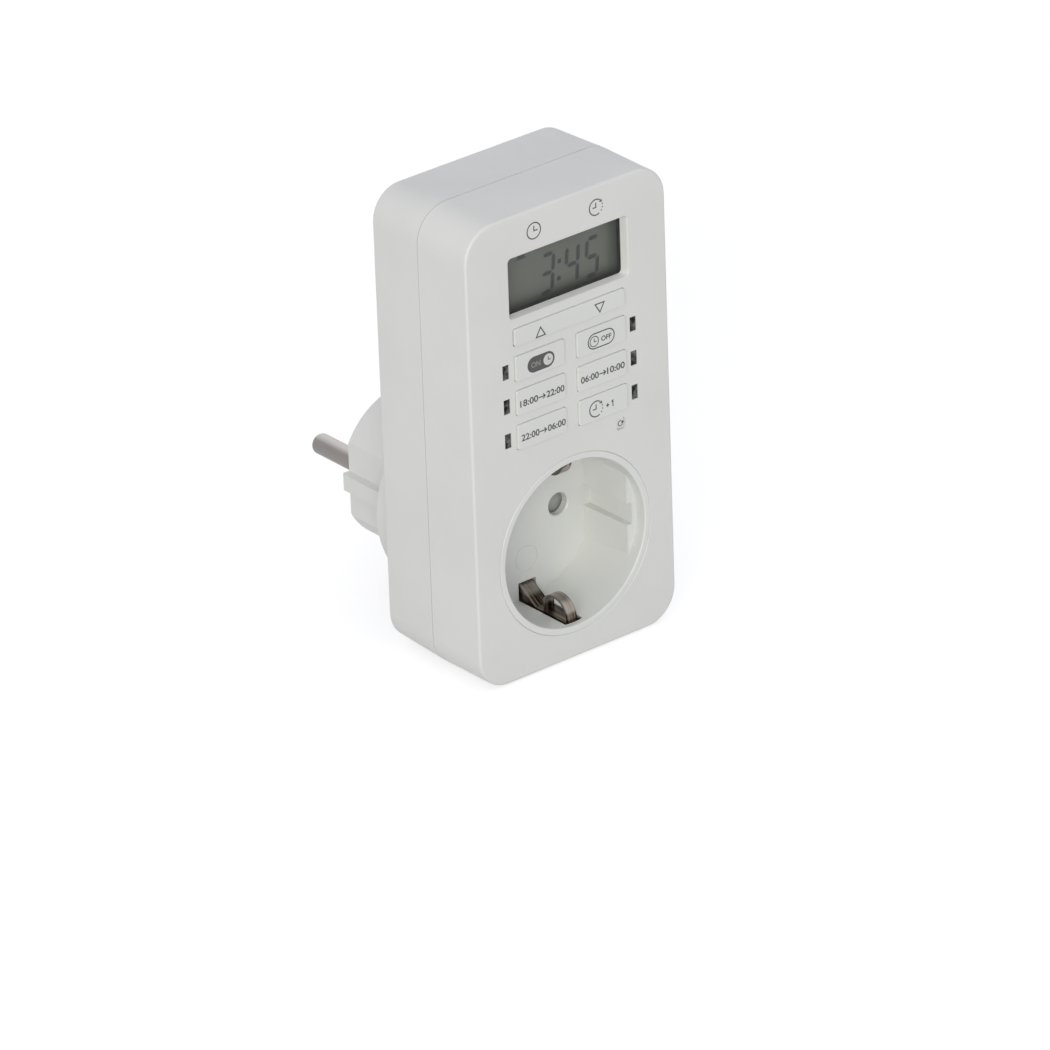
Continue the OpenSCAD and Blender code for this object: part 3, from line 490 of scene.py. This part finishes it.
def countdown(cx, cy, r, line=LINE):
    """A clock whose rim is an arrow on the left and dots on the right."""
    marks = ring(cx, cy, r, line, 52, 300, 40)
    marks += clock(cx - 0.02, cy, r, -1, line)
    x, y = circle_points(cx, cy, r, 30, 31, 1)[0]
    marks.append([(x + 0.16, y - 0.12), (x - 0.04, y + 0.66), (x - 0.72, y + 0.12)])
    for a in (12, -12, -36):
        marks += disc(*circle_points(cx, cy, r, a, a + 1, 1)[0], line * 0.6, 12)
    return marks


def arrow(x0, x1, y, line=0.26, head=0.58):
    """A small arrow pointing right."""
    marks = band([(x0, y), (x1 - 0.1, y)], line)
    return marks + band([(x1 - head, y + head), (x1, y), (x1 - head, y - head)], line)


def plus(cx, cy, size, line=0.26):
    marks = band([(cx - size / 2, cy), (cx + size / 2, cy)], line)
    return marks + band([(cx, cy - size / 2), (cx, cy + size / 2)], line)


def triangle(cx, cy, w, h):
    """An outlined triangle pointing up, or down where h is negative."""
    corners = [(cx - w / 2, cy - h / 2), (cx + w / 2, cy - h / 2), (cx, cy + h / 2)]
    return band(corners + corners[:1], LINE)


clock_mark = ring(-8.75, 77.15, 1.85, LINE) + clock(-8.72, 77.15, 1.95, 1)
print_mark("clock_mark", clock_mark, FACE_Z, "housing", INK)
print_mark("countdown_mark", countdown(8.48, 77.17, 1.82), FACE_Z, "housing", INK)
print_mark("up_mark", triangle(-8.22, 53.45, 2.5, 2.1), KEY_Z, "up_down", INK)
print_mark("down_mark", triangle(8.28, 53.75, 2.5, -2.1), KEY_Z, "up_down", INK)

on_top = KEY_Z + PRINT_T
on_hands = clock(-6.42, 46.30, 1.35, 1, THIN_LINE)
on_word = lettering("ON", -9.85, 45.65, 1.3, 2.5)
print_mark("on_pill", [stadium(-8.40, 46.35, 7.5, 3.7)], KEY_Z, "on", INK)
print_mark("on_disc", disc(-6.42, 46.35, 1.32), on_top, "on", INK_PALE, OVERLAY_T)
print_mark("on_hands", on_hands, on_top + OVERLAY_T, "on", INK, OVERLAY_T)
print_mark("on_word", on_word, on_top, "on", INK_SOFT, OVERLAY_T)

off_pill = stadium(8.40, 46.32, 7.3, 3.5)
off_mark = ring(6.46, 46.28, 1.18, THIN_LINE) + clock(6.46, 46.22, 1.25, 1, THIN_LINE)
off_mark += lettering("OFF", 9.83, 45.66, 1.2, 2.85)
print_mark("off_pill", band(off_pill + off_pill[:1], LINE), KEY_Z, "off", INK)
print_mark("off_mark", off_mark, KEY_Z, "off", INK)

for name, first, second, x, y in (
    ("preset_key_1", "18:00", "22:00", -8.36, 38.13),
    ("preset_key_2", "06:00", "10:00", 8.59, 38.13),
    ("preset_key_3", "22:00", "06:00", -8.30, 30.05),
):
    marks = lettering(first, x - 3.66, y - 0.72, 1.56, 4.98)
    marks += lettering(second, x + 3.66, y - 0.72, 1.56, 4.98)
    marks += arrow(x - 1.02, x + 0.78, y)
    print_mark(name + "_times", marks, KEY_Z, name, INK)

hour_mark = countdown(6.42, 30.22, 1.82) + plus(9.65, 30.06, 0.86)
hour_mark += band([(10.72, 30.5), (11.12, 30.78), (11.12, 29.36)], 0.26)
print_mark("hour_mark", hour_mark, KEY_Z, "hour", INK)

reset_mark = ring(13.85, 23.95, 0.62, THIN_LINE, 70, 370, 30)
reset_mark.append([(14.35, 24.62), (14.87, 23.98), (14.02, 23.92)])
print_mark("reset_mark", reset_mark, RESET_Z, "reset", INK)


# ---------------------------------------------------------------- display segments

# A digit's slant, width, height and foot, and the width of its bars, in millimetres.
SLANT = 0.09
DIGIT_W = 3.15
DIGIT_H = 8.7
DIGIT_Y = 59.08
BAR_W = 1.0


def segment(x0, y0, x1, y1):
    """A seven-segment bar with pointed ends between two corners of a digit."""
    p, q = Vector((x0, y0)), Vector((x1, y1))
    d = (q - p).normalized()
    side = Vector((-d.y, d.x)) * BAR_W / 2
    point = d * BAR_W / 2
    a, b = p + d * 0.2, q - d * 0.2
    bar = [a, a + point - side, b - point - side, b, b - point + side, a + point + side]
    mid = DIGIT_Y + DIGIT_H / 2
    return [(v.x + SLANT * (v.y - mid), v.y) for v in bar]


def digit(x, shape):
    """A digit whose left strokes stand at x, from the letters of its lit segments."""
    y0, y1, y2 = DIGIT_Y, DIGIT_Y + DIGIT_H / 2, DIGIT_Y + DIGIT_H
    w = DIGIT_W
    ends = {
        "a": (x, y2, x + w, y2),
        "b": (x + w, y1, x + w, y2),
        "c": (x + w, y0, x + w, y1),
        "d": (x, y0, x + w, y0),
        "e": (x, y0, x, y1),
        "f": (x, y1, x, y2),
        "g": (x, y1, x + w, y1),
    }
    return [segment(*ends[s]) for s in shape]


lit = digit(-3.43, "abcdg") + digit(3.47, "bcfg") + digit(9.07, "acdfg")
for x, y in ((1.64, 65.24), (1.32, 61.24)):
    lit.append([(x - 0.5, y - 0.5), (x + 0.5, y - 0.5), (x + 0.5, y + 0.5), (x - 0.5, y + 0.5)])
lit.append([(-10.4, 69.0), (-7.4, 69.0), (-8.9, 70.8)])
print_mark("display_digits", lit, GLASS_Z, "housing", SEGMENT, SEGMENT_T)


# ---------------------------------------------------------------- floor, light and camera

# What the floor adds to the light that it gets, to reach white, and the sky's strength.
FLOOR_GLOW = 0.62
SKY = 0.62

# Metres from the object's foot down to the floor.
FLOOR_GAP = 0.0002

# The photo's camera: turn, height and roll, shift across and up the picture, distance, and lens.
AZ, EL, ROLL = math.radians(-38.708), math.radians(26.563), math.radians(-2.0485)
SHIFT_X, SHIFT_Y, DISTANCE = 0.010177, 0.020789, 1.9292
FOCAL_PX, IMAGE_PX, SENSOR_MM = 8959.8, 1050, 36


def seen_ray(tree):
    """1 for the rays that show a background: to the camera, in reflections and through glass."""
    path = tree.nodes.new("ShaderNodeLightPath")
    seen = path.outputs["Is Camera Ray"]
    for ray in ("Is Glossy Ray", "Is Transmission Ray"):
        either = tree.nodes.new("ShaderNodeMath")
        either.operation = "MAXIMUM"
        tree.links.new(seen, either.inputs[0])
        tree.links.new(path.outputs[ray], either.inputs[1])
        seen = either.outputs[0]
    return seen


def floor():
    """Pale floor that reads as white to the camera and in reflections, and keeps the shadow."""
    mat = bpy.data.materials.new("floor")
    mat.use_nodes = True
    tree = mat.node_tree
    bsdf = tree.nodes["Principled BSDF"]
    bsdf.inputs["Base Color"].default_value = (0.6, 0.6, 0.6, 1)
    bsdf.inputs["Roughness"].default_value = 0.9
    bsdf.inputs["Specular IOR Level"].default_value = 0.0
    bsdf.inputs["Emission Color"].default_value = (1, 1, 1, 1)
    seen = seen_ray(tree)
    glow = tree.nodes.new("ShaderNodeMath")
    glow.operation = "MULTIPLY"
    glow.inputs[1].default_value = FLOOR_GLOW
    tree.links.new(seen, glow.inputs[0])
    tree.links.new(glow.outputs[0], bsdf.inputs["Emission Strength"])
    mesh = bpy.data.meshes.new("floor")
    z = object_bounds()[0][2] - FLOOR_GAP
    mesh.from_pydata([(-4, -4, z), (4, -4, z), (4, 6, z), (-4, 6, z)], [], [(0, 1, 2, 3)])
    mesh.materials.append(mat)
    obj = bpy.data.objects.new("floor", mesh)
    bpy.context.scene.collection.objects.link(obj)
    obj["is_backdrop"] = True


def area_light(name, place, target, size, power, color):
    light = bpy.data.lights.new(name, "AREA")
    light.shape = "DISK"
    light.size = size
    light.energy = power
    light.color = color
    obj = bpy.data.objects.new(name, light)
    obj.location = place
    obj.rotation_euler = (Vector(target) - Vector(place)).to_track_quat("-Z", "Y").to_euler()
    bpy.context.scene.collection.objects.link(obj)


def sky():
    """Soft, slightly cool light from all round, in front of which the backdrop reads as white."""
    world = bpy.data.worlds.new("world")
    bpy.context.scene.world = world
    world.use_nodes = True
    tree = world.node_tree
    light = tree.nodes["Background"]
    light.inputs["Color"].default_value = (0.947, 0.957, 1.045, 1)
    light.inputs["Strength"].default_value = SKY
    backdrop = tree.nodes.new("ShaderNodeBackground")
    backdrop.inputs["Color"].default_value = (1, 1, 1, 1)
    backdrop.inputs["Strength"].default_value = 1.0
    blend = tree.nodes.new("ShaderNodeMixShader")
    tree.links.new(seen_ray(tree), blend.inputs[0])
    tree.links.new(light.outputs[0], blend.inputs[1])
    tree.links.new(backdrop.outputs[0], blend.inputs[2])
    tree.links.new(blend.outputs[0], tree.nodes["World Output"].inputs["Surface"])


def photo_camera():
    """The camera that was solved from the photo, which looks at the middle of the face."""
    back = Vector((math.sin(AZ) * math.cos(EL), -math.cos(AZ) * math.cos(EL), math.sin(EL)))
    right = Vector((math.cos(AZ), math.sin(AZ), 0))
    up = back.cross(right)
    right, up = (
        right * math.cos(ROLL) + up * math.sin(ROLL),
        up * math.cos(ROLL) - right * math.sin(ROLL),
    )
    place = at(0, 27.5, FACE_Z) - right * SHIFT_X - up * SHIFT_Y + back * DISTANCE
    data = bpy.data.cameras.new("camera")
    data.sensor_width = SENSOR_MM
    data.lens = FOCAL_PX / IMAGE_PX * SENSOR_MM
    data.clip_start = 0.01
    data.clip_end = 50
    obj = bpy.data.objects.new("camera", data)
    turn = Matrix((right, up, back)).transposed().to_4x4()
    obj.matrix_world = Matrix.Translation(place) @ turn
    bpy.context.scene.collection.objects.link(obj)
    bpy.context.scene.camera = obj


floor()
sky()
area_light("key_light", (-1.2, -1.25, 0.5), (0, -0.04, 0.03), 1.2, 14.5, (1, 0.995, 0.94))
photo_camera()
bpy.context.scene.view_settings.view_transform = "Standard"
